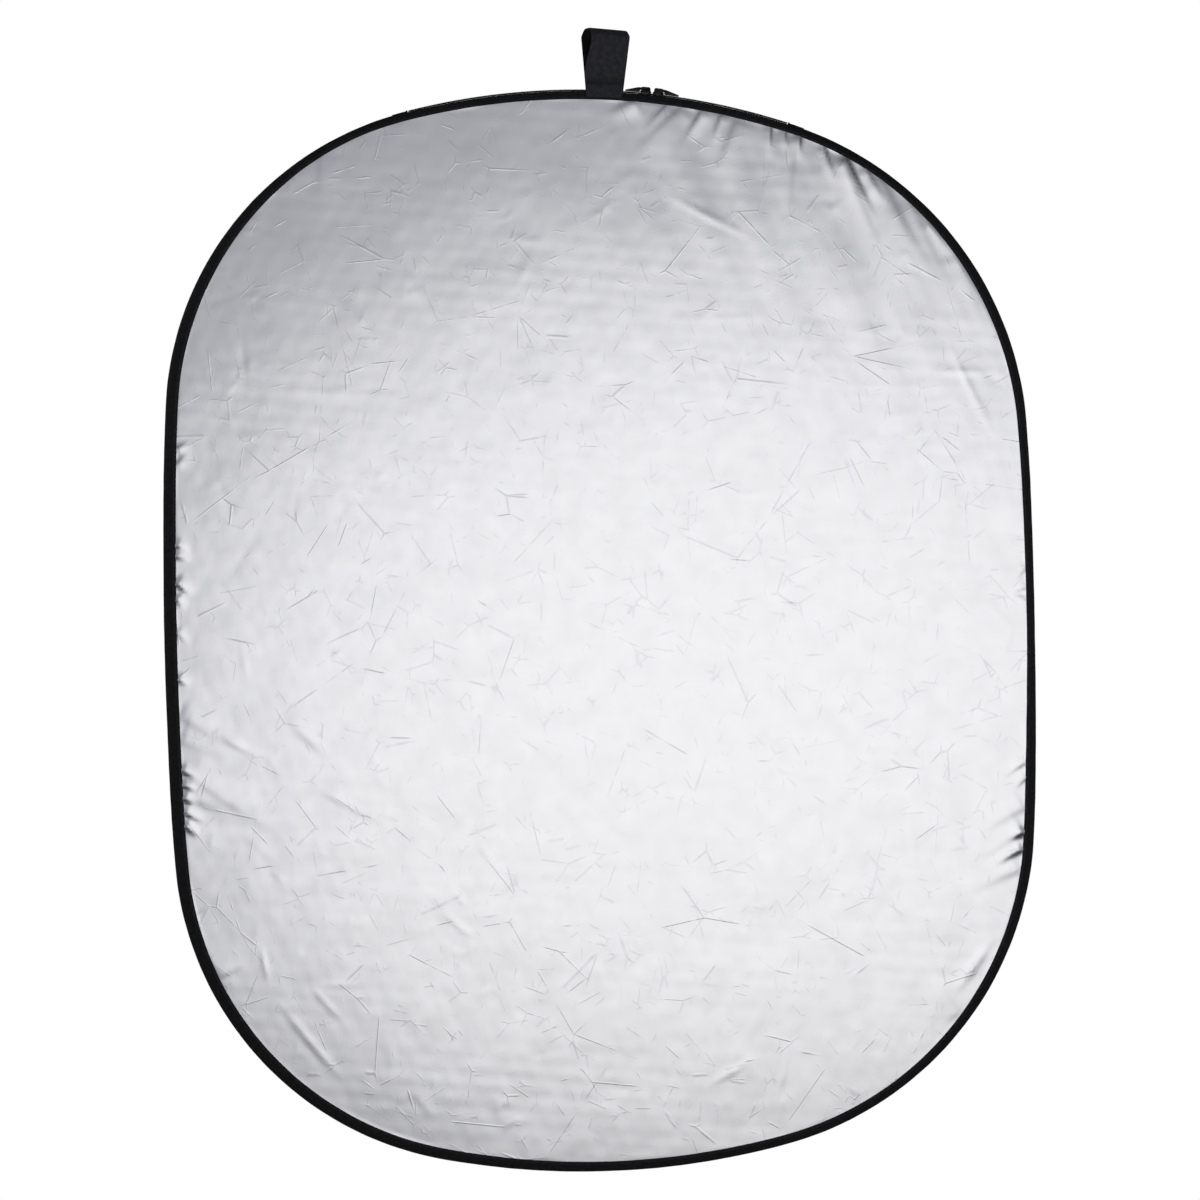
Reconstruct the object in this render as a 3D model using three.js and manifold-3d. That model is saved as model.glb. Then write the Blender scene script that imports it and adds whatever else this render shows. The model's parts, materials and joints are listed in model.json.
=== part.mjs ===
// Collapsible light reflector: a sprung-steel hoop inside a translucent diffuser disc, wrapped in a zip-on
// cover with a silver front and a gold back, and hung by a webbing loop.
//
// Millimetres, +Z up, front towards -Y. The origin is the point inside the hanging loop that rests on a hook.
// The rim outline is a closed run of tangent arcs, addressed by heading: the direction of its outward normal,
// in degrees clockwise from straight up as seen from the front. Sections of swept pieces are lists of
// [front, inward] pairs: front is the distance towards the viewer, inward the depth below the outline.
// Neighbouring pieces keep a gap of 0.3 mm or more.
import * as THREE from "three";
import Module from "manifold-3d";
import { mergeVertices } from "three/addons/utils/BufferGeometryUtils.js";

const wasm = await Module();
wasm.setup();

// ---- Driving dimensions ----------------------------------------------------------------------------------

// Rim outline, clockwise from the left end of the crown. The two radii left out are those that close it.
const FIRST_HEADING = -15;
const ARCS = [
  { name: "crown", radius: 949, turn: 33.6, steps: 14 },
  { name: "upper right corner", radius: 472, turn: 67.7, steps: 15 },
  { name: "right side", radius: 6030, turn: 5.3, steps: 4 },
  { name: "lower right corner", radius: 465, turn: 73.1, steps: 16 },
  { name: "bottom", turn: 25.7, steps: 11 },
  { name: "lower left corner", radius: 450, turn: 75.3, steps: 16 },
  { name: "left side", turn: 6.2, steps: 4 },
  { name: "upper left corner", radius: 438, turn: 73.1, steps: 16 },
];

const GAP = 0.3; // least clearance between two pieces
const FOLD_GAP = 0.4; // between the halves of a piece that is cut by the fold line

// Depth of each layer of the rim, as half-distances from the middle plane of the disc.
const HOOP_HALF_WIDTH = 3.6;
const FERRULE_WALL = 0.6;
const CHANNEL_WALL = 0.5;
const COVER_WALL = 0.7;
const BINDING_THICKNESS = 0.4;
const FERRULE_INNER = HOOP_HALF_WIDTH + GAP;
const FERRULE_OUTER = FERRULE_INNER + FERRULE_WALL;
const CHANNEL_INNER = FERRULE_OUTER + GAP;
const CHANNEL_OUTER = CHANNEL_INNER + CHANNEL_WALL;
const COVER_INNER = CHANNEL_OUTER + GAP;
const COVER_OUTER = COVER_INNER + COVER_WALL;
const BINDING_INNER = COVER_OUTER + GAP;
const BINDING_OUTER = BINDING_INNER + BINDING_THICKNESS;

// Distances inward from the outline.
const CHANNEL_TOP = 3.5;
const HOOP_TOP = 5.1;
const HOOP_THICKNESS = 1.2;
const CHANNEL_PINCH = 13; // where the channel narrows to a flat hem
const CHANNEL_HEM = 20; // inner edge of the hem
const COVER_SEAM = 12; // where the gusset ends and the cover panel starts
const BINDING_EDGES = [10, 14.5];

const CLOTH = 0.4; // cover panels
const DIFFUSER_CLOTH = 0.3;

const FERRULE_HEADING = 180; // the hoop's two ends meet here, at the bottom of the rim
const FERRULE_LENGTH = 44;

// Zip on the crown.
const ZIP_ENDS = [FIRST_HEADING + 0.7, FIRST_HEADING + ARCS[0].turn - 0.7];
const ZIP_SPLIT = 6.27; // heading where the two sliders meet nose to nose
const TAPE_DEPTH = 1.4; // the tape's outer face below the outline
const TAPE_THICKNESS = 0.6;
const COIL_HEIGHT = 1.4; // above the outline
const COIL_HALF = [0.6, 2.6];
const STOP = { length: 2.2, width: 6, height: 1.7 };
const PATCH_ANGLE = 2; // degrees of the rim under each patch
const SLIDER = {
  length: 16,
  topNose: 4.8, // half-widths of the top plate at its two ends
  topTail: 3.9,
  floorNose: 4.5,
  floorTail: 3.7,
  clearance: 0.4, // over the coils
  plate: 1.2,
  floorPlate: 0.8,
  bridgeTop: 9.2,
  bridgeSides: [2.4, 3.3],
  flangeSides: [3.1, 3.9],
  webHalf: 0.25,
};
const SLIDER_MEETING_GAP = 1.6;
const PULL = { length: 25, neck: 2.1, tab: 3.6, eye: 1.9 };
const PULL_DROOP = 13; // degrees towards the tape, at rest
const PULL_PIN = { along: 4.5, height: 7.4, radius: 0.8 };

// Webbing loop.
const WEBBING_WIDTH = 50;
const WEBBING_THICKNESS = 1.4;
const LOOP_HEADING = 2.3;
const SEAM_HEIGHT = 16.1; // sewn line above the outline, where the loop flexes
const SEAM_CLEARANCE = 1.5; // webbing left out each side of that line, so that the loop can turn
const LOOP_TOP = 85;
const LOOP_HALF_DEPTH = 21;
const LOOP_YAW = 20; // degrees that the top of the loop is twisted from the rim
const LOOP_YAW_FULL_HEIGHT = 60;
const LAP_SHARE = [0.05, 0.8]; // the stretch of the loop's side that the strap's other end is sewn to

// ---- Rim outline -----------------------------------------------------------------------------------------

const rad = THREE.MathUtils.degToRad;
const outward = (heading) => new THREE.Vector2(Math.sin(rad(heading)), Math.cos(rad(heading)));

// The chord of an arc is radius * (outward(end) - outward(start)), so closing the outline is a pair of
// linear equations in the two radii that are left out.
function closeOutline(arcs) {
  let heading = FIRST_HEADING;
  const spans = arcs.map((arc) => {
    const chord = outward(heading + arc.turn).sub(outward(heading));
    const span = { ...arc, start: heading, end: heading + arc.turn, chord };
    heading += arc.turn;
    return span;
  });
  const sum = new THREE.Vector2();
  spans.filter((s) => s.radius).forEach((s) => sum.addScaledVector(s.chord, s.radius));
  const [a, b] = spans.filter((s) => !s.radius);
  const cross = a.chord.cross(b.chord);
  a.radius = -sum.cross(b.chord) / cross;
  b.radius = sum.cross(a.chord) / cross;
  const point = new THREE.Vector2();
  for (const s of spans) {
    s.centre = point.clone().addScaledVector(outward(s.start), -s.radius);
    point.addScaledVector(s.chord, s.radius);
  }
  return spans;
}

const spans = closeOutline(ARCS);

function wrapHeading(heading) {
  return FIRST_HEADING + THREE.MathUtils.euclideanModulo(heading - FIRST_HEADING, 360);
}

// A point of the outline in its own plane, [x, z], inward by some depth.
function outlinePoint(heading, inward = 0) {
  const wrapped = wrapHeading(heading);
  const span = spans.find((s) => wrapped <= s.end + 1e-9) ?? spans[0];
  return span.centre.clone().addScaledVector(outward(wrapped), span.radius - inward);
}

// The disc's centre is the middle of the outline's bounding box.
const centreX = (outlinePoint(90).x + outlinePoint(270).x) / 2;
const centreZ = (outlinePoint(0).y + outlinePoint(180).y) / 2;
spans.forEach((s) => s.centre.sub(new THREE.Vector2(centreX, centreZ)));

// The headings where the fold line, level with the disc's centre, crosses the two sides.
function foldHeading(sideName) {
  const side = spans.find((s) => s.name === sideName);
  const angle = THREE.MathUtils.radToDeg(Math.acos(-side.centre.y / side.radius));
  return sideName === "right side" ? angle : 360 - angle;
}
const FOLD_RIGHT = foldHeading("right side");
const FOLD_LEFT = foldHeading("left side");

// A heading, moved along the outline by some distance.
function alongRim(heading, distance) {
  const wrapped = wrapHeading(heading);
  const span = spans.find((s) => wrapped <= s.end);
  return heading + THREE.MathUtils.radToDeg(distance / span.radius);
}

// Every swept piece is faceted at these headings, so nested pieces stay parallel.
const STATIONS = spans.flatMap((s) =>
  Array.from({ length: s.steps }, (_, i) => s.start + (s.turn * i) / s.steps),
);

function stationsBetween(start, end) {
  const inside = [...STATIONS, ...STATIONS.map((h) => h + 360), ...STATIONS.map((h) => h - 360)]
    .filter((h) => h > start + 0.05 && h < end - 0.05)
    .sort((a, b) => a - b);
  return [start, ...inside, end];
}

// The run of the rim between two headings, as a path for ExtrudeGeometry: its frames are the rim's own.
class RimPath extends THREE.Curve {
  constructor(start, end) {
    super();
    this.headings = stationsBetween(start, end);
  }
  get steps() {
    return this.headings.length - 1;
  }
  getSpacedPoints() {
    return this.headings.map((heading) => {
      const p = outlinePoint(heading);
      return new THREE.Vector3(p.x, 0, p.y);
    });
  }
  computeFrenetFrames() {
    const out = this.headings.map((heading) => outward(heading));
    return {
      tangents: out.map((n) => new THREE.Vector3(n.y, 0, -n.x)),
      normals: out.map(() => new THREE.Vector3(0, -1, 0)),
      binormals: out.map((n) => new THREE.Vector3(-n.x, 0, -n.y)),
    };
  }
}

const ARCH = {
  upper: [alongRim(FOLD_LEFT, FOLD_GAP / 2) - 360, alongRim(FOLD_RIGHT, -FOLD_GAP / 2)],
  lower: [alongRim(FOLD_RIGHT, FOLD_GAP / 2), alongRim(FOLD_LEFT, -FOLD_GAP / 2)],
};

// ---- Making shapes ---------------------------------------------------------------------------------------

const polygon = (points) => new THREE.Shape(points.map(([x, y]) => new THREE.Vector2(x, y)));
const rectangle = (x0, x1, y0, y1) => [[x0, y0], [x1, y0], [x1, y1], [x0, y1]];

function sweep(section, [start, end], hole) {
  const shape = polygon(section);
  if (hole) shape.holes.push(new THREE.Path(hole.map(([x, y]) => new THREE.Vector2(x, y))));
  const path = new RimPath(start, end);
  return new THREE.ExtrudeGeometry(shape, { steps: path.steps, bevelEnabled: false, extrudePath: path });
}

// A flat sheet that fills one half of the rim, from an inward depth of the outline to the fold line.
// Its two faces are at the front distances back and back + thickness.
function halfSheet(half, inward, back, thickness) {
  const points = stationsBetween(...ARCH[half]).map((heading) => outlinePoint(heading, inward));
  const edge = (half === "upper" ? 1 : -1) * (FOLD_GAP / 2);
  points[0].y = edge;
  points[points.length - 1].y = edge;
  const sheet = new THREE.ExtrudeGeometry(new THREE.Shape(points), { depth: thickness, bevelEnabled: false });
  return sheet.rotateX(Math.PI / 2).translate(0, -back, 0);
}

// A closed outline round a strap that follows a line of points.
function strapOutline(line, thickness) {
  const offset = (side) =>
    line.map(([x, y], i) => {
      const [ax, ay] = line[Math.max(i - 1, 0)];
      const [bx, by] = line[Math.min(i + 1, line.length - 1)];
      const along = new THREE.Vector2(bx - ax, by - ay).normalize();
      return [x - side * along.y * (thickness / 2), y + side * along.x * (thickness / 2)];
    });
  return [...offset(1), ...offset(-1).reverse()];
}

// A shape drawn in [front, up], given a width along X.
function acrossX(outline, width) {
  const body = new THREE.ExtrudeGeometry(polygon(outline), { depth: width, bevelEnabled: false });
  return body.applyMatrix4(
    new THREE.Matrix4().makeBasis(
      new THREE.Vector3(0, -1, 0),
      new THREE.Vector3(0, 0, 1),
      new THREE.Vector3(-1, 0, 0),
    ),
  ).translate(width / 2, 0, 0);
}

function box([x0, x1], [y0, y1], [z0, z1]) {
  const made = new THREE.BoxGeometry(x1 - x0, y1 - y0, z1 - z0);
  return made.translate((x0 + x1) / 2, (y0 + y1) / 2, (z0 + z1) / 2);
}

// A shape drawn in [along, depth], given a height along Z; or in [along, up], given a width along Y.
const plate = (outline, [z0, z1], holes = []) => {
  const shape = polygon(outline);
  holes.forEach((hole) => shape.holes.push(polygon(hole)));
  return new THREE.ExtrudeGeometry(shape, { depth: z1 - z0, bevelEnabled: false }).translate(0, 0, z0);
};
const cheek = (outline, [y0, y1]) =>
  new THREE.ExtrudeGeometry(polygon(outline), { depth: y1 - y0, bevelEnabled: false })
    .rotateX(Math.PI / 2)
    .translate(0, y1, 0);

function solid(geometry) {
  const bare = geometry.clone();
  Object.keys(bare.attributes)
    .filter((name) => name !== "position")
    .forEach((name) => bare.deleteAttribute(name));
  const merged = mergeVertices(bare, 1e-3);
  return new wasm.Manifold(
    new wasm.Mesh({
      numProp: 3,
      vertProperties: new Float32Array(merged.attributes.position.array),
      triVerts: new Uint32Array(merged.index.array),
    }),
  );
}

function geometryOf(manifold) {
  const mesh = manifold.getMesh();
  return new THREE.BufferGeometry()
    .setAttribute("position", new THREE.BufferAttribute(new Float32Array(mesh.vertProperties), 3))
    .setIndex(new THREE.BufferAttribute(new Uint32Array(mesh.triVerts), 1));
}

const joined = (geometries) => geometryOf(geometries.map(solid).reduce((a, b) => a.add(b)));

// ---- Materials -------------------------------------------------------------------------------------------

const material = (color, roughness, metalness = 0) =>
  new THREE.MeshStandardMaterial({ color, roughness, metalness });
const MATERIALS = {
  silver: material(0xd6d7de, 0.35, 0.8),
  gold: material(0xc7a557, 0.4, 0.8),
  diffuser: material(0xf6f6f4, 0.85),
  trim: material(0x17181a, 0.8),
  webbing: material(0x2b2c30, 0.85),
  zip: material(0x101113, 0.45),
  hardware: material(0x1c1d20, 0.35, 0.3),
  steel: material(0x8d9196, 0.3, 1),
};

const disc = new THREE.Group();
function add(name, geometry, slot, parent = disc) {
  const mesh = new THREE.Mesh(geometry, MATERIALS[slot]);
  mesh.name = name;
  parent.add(mesh);
  return mesh;
}

// A group whose Z axis is the rim's outward normal and whose X axis runs clockwise along it.
function rimFrame(heading, parent = disc) {
  const group = new THREE.Group();
  const p = outlinePoint(heading);
  group.position.set(p.x, 0, p.y);
  group.rotation.y = rad(heading);
  parent.add(group);
  return group;
}

// ---- Inner disc: hoop, ferrule, channel and diffuser -----------------------------------------------------

function addHoop() {
  const section = rectangle(-HOOP_HALF_WIDTH, HOOP_HALF_WIDTH, HOOP_TOP, HOOP_TOP + HOOP_THICKNESS);
  add("hoop_upper", sweep(section, ARCH.upper), "steel");
  const right = [ARCH.lower[0], alongRim(FERRULE_HEADING, -GAP / 2)];
  const left = [alongRim(FERRULE_HEADING, GAP / 2), ARCH.lower[1]];
  add("hoop_lower_right", sweep(section, right), "steel");
  add("hoop_lower_left", sweep(section, left), "steel");
}

function addFerrule() {
  const top = HOOP_TOP - GAP - FERRULE_WALL;
  const bottom = HOOP_TOP + HOOP_THICKNESS + GAP + FERRULE_WALL;
  const sleeve = rectangle(-FERRULE_OUTER, FERRULE_OUTER, top, bottom);
  const bore = rectangle(-FERRULE_INNER, FERRULE_INNER, top + FERRULE_WALL, bottom - FERRULE_WALL);
  const ends = [-FERRULE_LENGTH / 2, FERRULE_LENGTH / 2].map((d) => alongRim(FERRULE_HEADING, d));
  add("hoop_ferrule", sweep(sleeve, ends, bore), "steel");
}

// The channel is a folded tape: a sleeve round the hoop, pinched to a hem that grips the diffuser cloth.
function addChannel(half) {
  const cavityTop = HOOP_TOP - 2 * GAP - FERRULE_WALL;
  const cavityBottom = HOOP_TOP + HOOP_THICKNESS + 2 * GAP + FERRULE_WALL;
  const slot = DIFFUSER_CLOTH / 2 + GAP;
  const hem = slot + CHANNEL_WALL;
  const side = (sign) => [
    [sign * CHANNEL_OUTER, CHANNEL_TOP],
    [sign * CHANNEL_OUTER, cavityBottom + CHANNEL_WALL],
    [sign * hem, CHANNEL_PINCH],
    [sign * hem, CHANNEL_HEM],
    [sign * slot, CHANNEL_HEM],
    [sign * slot, CHANNEL_PINCH + 1],
  ];
  const cavity = rectangle(-CHANNEL_INNER, CHANNEL_INNER, cavityTop, cavityBottom);
  add(`channel_${half}`, sweep([...side(1), ...side(-1).reverse()], ARCH[half], cavity), "diffuser");
}

function addDiffuser(half) {
  const sheet = halfSheet(half, CHANNEL_PINCH + 1 + GAP, -DIFFUSER_CLOTH / 2, DIFFUSER_CLOTH);
  add(`diffuser_${half}`, sheet, "diffuser");
}

// ---- Cover: panels, bindings, gusset and zip -------------------------------------------------------------

function addPanels(half) {
  const depth = (COVER_INNER + COVER_OUTER - CLOTH) / 2;
  add(`front_panel_${half}`, halfSheet(half, COVER_SEAM + GAP, depth, CLOTH), "silver");
  add(`back_panel_${half}`, halfSheet(half, COVER_SEAM + GAP, -depth - CLOTH, CLOTH), "gold");
}

function addBindings(half) {
  const [outer, inner] = BINDING_EDGES;
  const front = rectangle(BINDING_INNER, BINDING_OUTER, outer, inner);
  const back = rectangle(-BINDING_OUTER, -BINDING_INNER, outer, inner);
  add(`front_binding_${half}`, sweep(front, ARCH[half]), "trim");
  add(`back_binding_${half}`, sweep(back, ARCH[half]), "trim");
}

// A band folded round the rim: outer is the depth of its outer face and legEnd that of its two edges.
function wrapSection(halfWidth, thickness, outer, legEnd) {
  const shoulder = 2.6;
  const side = (sign, half, top) => [
    [sign * half, legEnd],
    [sign * half, top + shoulder],
    [sign * (half - shoulder), top],
  ];
  return [
    ...side(1, halfWidth, outer),
    ...side(-1, halfWidth, outer).reverse(),
    ...side(-1, halfWidth - thickness, outer + thickness),
    ...side(1, halfWidth - thickness, outer + thickness).reverse(),
  ];
}

const CROWN_END = FIRST_HEADING + ARCS[0].turn;

function addGussets() {
  const section = wrapSection(COVER_OUTER, COVER_WALL, 0, COVER_SEAM);
  add("gusset_upper_left", sweep(section, [ARCH.upper[0], alongRim(FIRST_HEADING, -GAP)]), "trim");
  add("gusset_upper_right", sweep(section, [alongRim(CROWN_END, GAP), ARCH.upper[1]]), "trim");
  add("gusset_lower", sweep(section, ARCH.lower), "trim");
}

function addZipTapes() {
  const bend = TAPE_DEPTH + 1.2;
  const tape = (sign) => [
    [sign * COVER_OUTER, COVER_SEAM],
    [sign * COVER_OUTER, bend],
    [sign * (COVER_OUTER - 1), TAPE_DEPTH],
    [sign * COIL_HALF[0], TAPE_DEPTH],
    [sign * COIL_HALF[0], TAPE_DEPTH + TAPE_THICKNESS],
    [sign * (COVER_INNER - 1), TAPE_DEPTH + TAPE_THICKNESS],
    [sign * COVER_INNER, bend + 1],
    [sign * COVER_INNER, COVER_SEAM],
  ];
  const run = [FIRST_HEADING, CROWN_END];
  add("zip_tape_front", sweep(tape(1), run), "zip");
  add("zip_tape_back", sweep(tape(-1), run), "zip");
}

// Each coil is one rib on the edge of its tape. The slider's web runs between the two.
function addZipCoils() {
  const [near, far] = COIL_HALF;
  const base = TAPE_DEPTH - GAP;
  const coil = (sign) => [
    [sign * near, base],
    [sign * near, 0.4 - COIL_HEIGHT],
    [sign * (near + 0.4), -COIL_HEIGHT],
    [sign * (far - 0.6), -COIL_HEIGHT],
    [sign * far, 0.6 - COIL_HEIGHT],
    [sign * far, base],
  ];
  add("zip_coil_front", sweep(coil(1), ZIP_ENDS), "zip");
  add("zip_coil_back", sweep(coil(-1), ZIP_ENDS), "zip");
}

// A stop clamped on each end of the chain, and a patch of gusset cloth sewn over the end of the zip.
function addZipEnd(side, chainEnd, direction) {
  const [l, w] = [STOP.length / 2, STOP.width / 2];
  const stop = rimFrame(alongRim(chainEnd, direction * (GAP + l)));
  add(`zip_stop_${side}`, box([-l, l], [-w, w], [GAP - TAPE_DEPTH, STOP.height]), "hardware", stop);

  const patchStart = alongRim(chainEnd, direction * (2 * GAP + STOP.length));
  const patchEnd = patchStart + direction * PATCH_ANGLE;
  const clearance = GAP + COVER_WALL;
  const section = wrapSection(COVER_OUTER + clearance, COVER_WALL, -clearance, BINDING_EDGES[0] - 0.5);
  const run = [patchStart, patchEnd].sort((a, b) => a - b);
  add(`zip_patch_${side}`, sweep(section, run), "trim");
}

// ---- Sliders and pulls -----------------------------------------------------------------------------------

// Slider frame: X towards the tail, where the pull lies, and Z away from the disc.
function sliderGeometry() {
  const half = SLIDER.length / 2;
  const plan = (nose, tail) => [
    [-half, nose - 2], [-half, 2 - nose], [0.6 - half, 0.6 - nose], [4 - half, -nose],
    [half - 4, -tail], [half, 0.8 - tail], [half, tail - 0.8], [half - 4, tail],
    [4 - half, nose], [0.6 - half, nose - 0.6],
  ];
  const coilRoof = COIL_HEIGHT + SLIDER.clearance;
  const roof = coilRoof + SLIDER.plate;
  const floor = -(TAPE_DEPTH + TAPE_THICKNESS + GAP);
  const bite = 0.2; // how far joined pieces run into each other
  const bridge = [
    [1 - half, roof - bite], [2 - half, SLIDER.bridgeTop - 1.2], [3.4 - half, SLIDER.bridgeTop],
    [half - 4.4, SLIDER.bridgeTop], [half - 1.6, SLIDER.bridgeTop - 2.2], [half - 0.8, roof - bite],
  ];
  const bothSides = ([a, b], shape) => [shape([a, b]), shape([-b, -a])];
  const pinLength = 2 * SLIDER.bridgeSides[1] - 1;
  const pin = new THREE.CylinderGeometry(PULL_PIN.radius, PULL_PIN.radius, pinLength, 12);
  return joined([
    plate(plan(SLIDER.topNose, SLIDER.topTail), [coilRoof, roof]),
    plate(plan(SLIDER.floorNose, SLIDER.floorTail), [floor - SLIDER.floorPlate, floor]),
    box([1 - half, 5 - half], [-SLIDER.webHalf, SLIDER.webHalf], [floor - bite, coilRoof + bite]),
    ...bothSides(SLIDER.flangeSides, (sides) =>
      box([4 - half, half - 1], sides, [0.5 - TAPE_DEPTH, coilRoof + bite]),
    ),
    ...bothSides(SLIDER.bridgeSides, (sides) => cheek(bridge, sides)),
    pin.translate(PULL_PIN.along, 0, PULL_PIN.height),
  ]);
}

// Pull frame: the pin's axis is Y at the origin, and the tab runs along X. The tab is a moulded wedge, deep
// beside the slider and thin at its tip, so that its underside lies along the coils.
function pullGeometry() {
  const { length, neck, tab } = PULL;
  const neckStart = 1.3;
  const shoulder = [3.6, 4.8];
  const corner = 2;
  const outline = [
    [neckStart, -neck], [shoulder[0], -neck], [shoulder[1], -tab], [length - corner, -tab],
    [length, corner - tab], [length, tab - corner], [length - corner, tab], [shoulder[1], tab],
    [shoulder[0], neck], [neckStart, neck],
  ];
  const side = [
    [neckStart, -1.2], [4, -1.9], [5, -4.6], [length - 1.5, -0.7], [length, 0.1], [length - 1, 1],
    [6, 1.9], [neckStart, 1.3],
  ];
  const eye = new THREE.CylinderGeometry(PULL.eye, PULL.eye, 2 * neck, 16);
  const boreRadius = PULL_PIN.radius + GAP;
  const bore = new THREE.CylinderGeometry(boreRadius, boreRadius, 2 * neck + 1, 16);
  const depth = 6; // more than the wedge reaches either way
  const wedge = solid(plate(outline, [-depth, depth])).intersect(solid(cheek(side, [-depth, depth])));
  return geometryOf(wedge.add(solid(eye)).subtract(solid(bore)));
}

function addSlider(side, direction) {
  const offset = (direction * (SLIDER.length + SLIDER_MEETING_GAP)) / 2;
  const frame = rimFrame(alongRim(ZIP_SPLIT, offset));
  const facing = new THREE.Group();
  facing.rotation.z = direction > 0 ? 0 : Math.PI;
  frame.add(facing);
  add(`zip_slider_${side}`, sliderGeometry(), "hardware", facing);
  const pull = add(`zip_pull_${side}`, pullGeometry(), "hardware", facing);
  pull.position.set(PULL_PIN.along, 0, PULL_PIN.height);
  pull.rotation.y = rad(PULL_DROOP);
}

// ---- Hanging loop ----------------------------------------------------------------------------------------

// Both lines are in [front, up from the outline]. The legs straddle the rim and leave a tunnel for the
// sliders; above the seam the webbing opens into the loop.
const LEG_LINE = [[7.4, -9.6], [7.4, 3], [6.6, 8.2], [1.6, 13], [0.9, SEAM_HEIGHT - SEAM_CLEARANCE]];
const crownLine = LOOP_TOP - WEBBING_THICKNESS / 2;
const LOOP_SIDE = [
  [0.9, SEAM_HEIGHT + SEAM_CLEARANCE], [2.2, 23], [8.5, 38], [15, 54], [LOOP_HALF_DEPTH - 1.2, 66],
  [LOOP_HALF_DEPTH - 0.9, 72], [LOOP_HALF_DEPTH - 3.4, 78.5], [14, crownLine - 1.4], [8, crownLine],
];

function addLegs() {
  const frame = rimFrame(LOOP_HEADING);
  const outline = strapOutline(LEG_LINE, WEBBING_THICKNESS);
  add("loop_leg_front", acrossX(outline, WEBBING_WIDTH), "webbing", frame);
  const mirrored = outline.map(([front, up]) => [-front, up]).reverse();
  add("loop_leg_back", acrossX(mirrored, WEBBING_WIDTH), "webbing", frame);
}

// The strap's two ends lap on the inside of the back of the loop.
function lapLine() {
  const [a, b] = [LOOP_SIDE[2], LOOP_SIDE[3]];
  const inset = WEBBING_THICKNESS - 0.1;
  const point = (share) => [-(a[0] + share * (b[0] - a[0])) + inset, a[1] + share * (b[1] - a[1])];
  return LAP_SHARE.map(point);
}

function twistLoop(geometry) {
  const position = geometry.getAttribute("position");
  for (let i = 0; i < position.count; i++) {
    const rise = THREE.MathUtils.smoothstep(position.getZ(i), SEAM_HEIGHT, LOOP_YAW_FULL_HEIGHT);
    const p = new THREE.Vector3().fromBufferAttribute(position, i);
    p.applyAxisAngle(new THREE.Vector3(0, 0, 1), rad(LOOP_YAW) * rise);
    position.setXYZ(i, p.x, p.y, p.z);
  }
  return geometry;
}

function loopGeometry() {
  const back = LOOP_SIDE.map(([front, up]) => [-front, up]).reverse();
  const strap = acrossX(strapOutline([...LOOP_SIDE, ...back], WEBBING_THICKNESS), WEBBING_WIDTH);
  const lap = acrossX(strapOutline(lapLine(), WEBBING_THICKNESS), WEBBING_WIDTH - 2);
  return twistLoop(joined([strap, lap]));
}

function addLoop() {
  add("hanging_loop", loopGeometry(), "webbing", rimFrame(LOOP_HEADING));
}

// ---- Assembly --------------------------------------------------------------------------------------------

addHoop();
addFerrule();
for (const half of ["upper", "lower"]) {
  addChannel(half);
  addDiffuser(half);
  addPanels(half);
  addBindings(half);
}
addGussets();
addZipTapes();
addZipCoils();
addZipEnd("left", ZIP_ENDS[0], -1);
addZipEnd("right", ZIP_ENDS[1], 1);
addSlider("left", -1);
addSlider("right", 1);
addLegs();
addLoop();

// The disc hangs so that the inner face of the loop's crown is at the origin.
const hook = outlinePoint(LOOP_HEADING, WEBBING_THICKNESS - LOOP_TOP);
disc.position.set(-hook.x, 0, -hook.y);

const reflector = new THREE.Group();
reflector.add(disc);

export default reflector;
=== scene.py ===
"""Looks for the collapsible light reflector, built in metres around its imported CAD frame.

The rim's outline is a smooth curve through the corners of the CAD cover panels. A place on the rim is one of
- a heading: its outward normal, in degrees clockwise from up as seen from the front
- a bearing: its direction from the disc's centre, measured in the same way
- a share of the way round
A point of a rim section is [front, depth]: front towards the viewer from the disc's middle plane, and depth
inward from the outline.
"""

import json
import math

import bpy
import numpy as np
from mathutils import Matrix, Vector


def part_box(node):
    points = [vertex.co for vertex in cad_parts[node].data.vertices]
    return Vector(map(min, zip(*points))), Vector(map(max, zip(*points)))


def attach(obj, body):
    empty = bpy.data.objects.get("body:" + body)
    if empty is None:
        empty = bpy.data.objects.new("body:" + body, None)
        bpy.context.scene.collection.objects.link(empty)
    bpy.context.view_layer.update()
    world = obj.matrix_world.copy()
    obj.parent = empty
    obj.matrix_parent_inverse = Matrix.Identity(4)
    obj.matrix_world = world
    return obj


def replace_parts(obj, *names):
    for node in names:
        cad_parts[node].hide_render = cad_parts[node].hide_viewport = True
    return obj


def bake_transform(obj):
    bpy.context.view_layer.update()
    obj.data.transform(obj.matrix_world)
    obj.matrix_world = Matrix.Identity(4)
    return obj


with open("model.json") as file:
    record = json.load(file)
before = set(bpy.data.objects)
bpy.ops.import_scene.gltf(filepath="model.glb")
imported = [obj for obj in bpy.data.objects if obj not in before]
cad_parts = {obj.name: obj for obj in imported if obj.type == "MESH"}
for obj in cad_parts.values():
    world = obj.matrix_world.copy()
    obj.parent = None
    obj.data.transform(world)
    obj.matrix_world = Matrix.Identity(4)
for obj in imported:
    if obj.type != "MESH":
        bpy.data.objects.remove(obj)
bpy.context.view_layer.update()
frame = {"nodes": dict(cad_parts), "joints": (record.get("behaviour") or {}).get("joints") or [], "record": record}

MM = 0.001
FULL_TURN = 2 * math.pi

# ---- Sizes from the frame --------------------------------------------------------------------------------

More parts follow.
